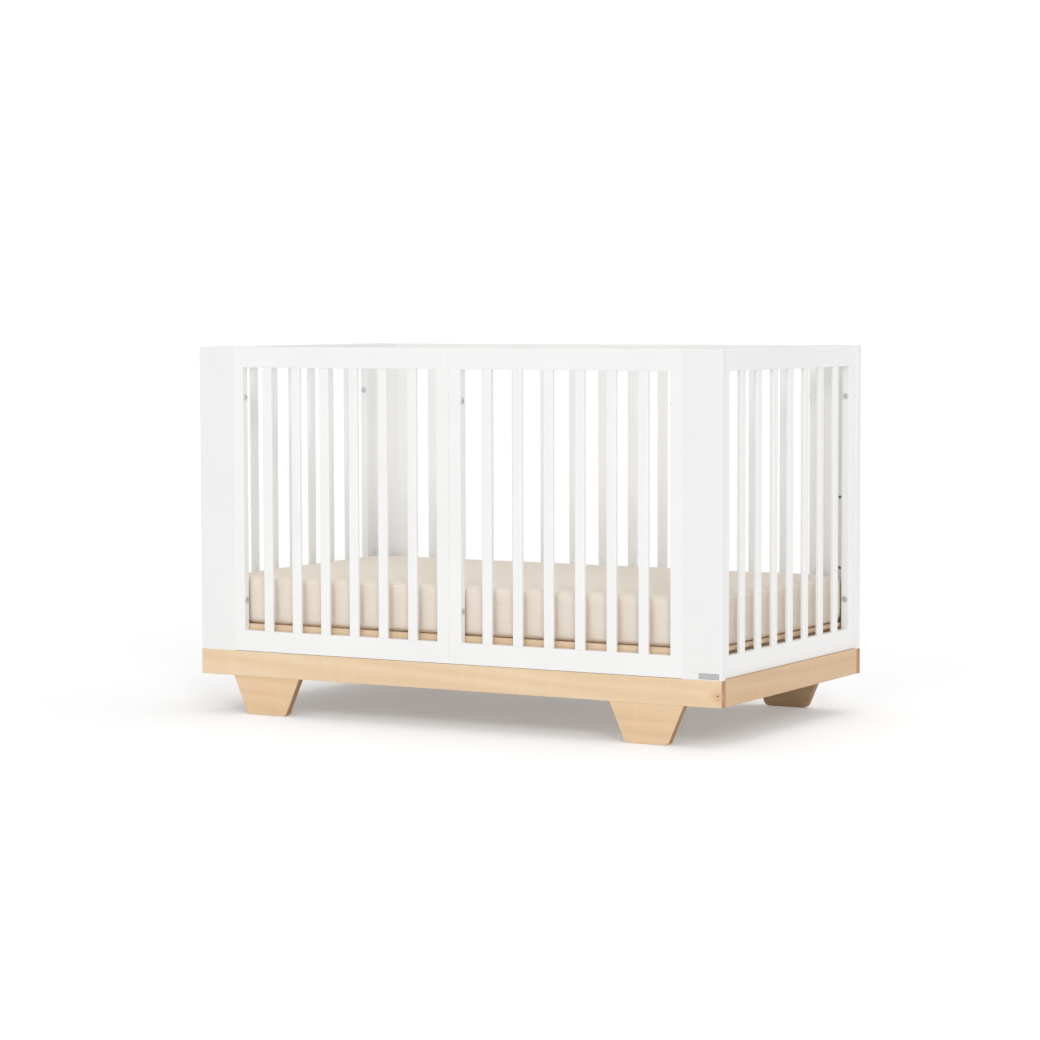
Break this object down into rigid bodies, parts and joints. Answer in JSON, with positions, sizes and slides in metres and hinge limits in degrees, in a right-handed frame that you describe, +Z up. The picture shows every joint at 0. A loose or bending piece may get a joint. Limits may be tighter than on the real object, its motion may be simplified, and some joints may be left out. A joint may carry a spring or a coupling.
{
  "type": "baby crib",
  "caption": "White slatted full-size baby crib on a low birch plinth with board legs, with a height-adjustable slatted mattress support and a fitted mattress.",
  "frame": {"origin": "middle of the footprint, on the floor", "axes": "+X along the crib's length, to the right when seen from the front; the front faces -Y; +Z up"},
  "size_m": [1.39, 0.756, 0.877],
  "materials": {
    "white_lacquer": "satin white lacquer",
    "birch": "clear satin lacquer",
    "support_birch": "clear matt lacquer",
    "dowel_beech": "bare",
    "steel": "zinc plated",
    "plate": "satin, blank",
    "mattress_cover": "fine woven fitted cover"
  },
  "bodies": {
    "frame": {"front_left_corner_board": "white_lacquer", "front_right_corner_board": "white_lacquer", "back_left_corner_board": "white_lacquer", "back_right_corner_board": "white_lacquer", "front_left_outer_stile": "white_lacquer", "front_left_centre_stile": "white_lacquer", "front_left_top_rail": "white_lacquer", "front_left_bottom_rail": "white_lacquer", "front_left_slats": "white_lacquer", "front_right_centre_stile": "white_lacquer", "front_right_outer_stile": "white_lacquer", "front_right_top_rail": "white_lacquer", "front_right_bottom_rail": "white_lacquer", "front_right_slats": "white_lacquer", "back_left_stile": "white_lacquer", "back_right_stile": "white_lacquer", "back_top_rail": "white_lacquer", "back_bottom_rail": "white_lacquer", "back_slats": "white_lacquer", "left_end_front_stile": "white_lacquer", "left_end_back_stile": "white_lacquer", "left_end_top_rail": "white_lacquer", "left_end_bottom_rail": "white_lacquer", "left_end_slats": "white_lacquer", "right_end_front_stile": "white_lacquer", "right_end_back_stile": "white_lacquer", "right_end_top_rail": "white_lacquer", "right_end_bottom_rail": "white_lacquer", "right_end_slats": "white_lacquer", "plinth_front_rail": "birch", "plinth_back_rail": "birch", "plinth_left_rail": "birch", "plinth_right_rail": "birch", "front_left_leg": "birch", "front_right_leg": "birch", "back_left_leg": "birch", "back_right_leg": "birch", "panel_bolts": "steel", "end_bolts": "steel", "centre_bolts": "steel", "centre_sleeve_nuts": "steel", "support_bolts": "steel", "plinth_bolts": "steel", "barrel_nuts": "steel", "panel_inserts": "steel", "support_inserts": "steel", "panel_dowels": "dowel_beech", "plinth_dowels": "dowel_beech", "label_plate": "plate"},
    "mattress_support": {"support_front_rail": "support_birch", "support_back_rail": "support_birch", "support_left_rail": "support_birch", "support_right_rail": "support_birch", "support_front_batten": "support_birch", "support_back_batten": "support_birch", "support_centre_rail": "support_birch", "support_slats": "support_birch"},
    "mattress": {"mattress": "mattress_cover"}
  },
  "joints": [
    {"name": "support_height", "type": "slide", "parent": "frame", "child": "mattress_support", "axis": [0, 0, 1], "range_m": [0, 0.34]},
    {"name": "mattress_lift", "type": "slide", "parent": "mattress_support", "child": "mattress", "axis": [0, 0, 1], "range_m": [0, 0.7]}
  ]
}
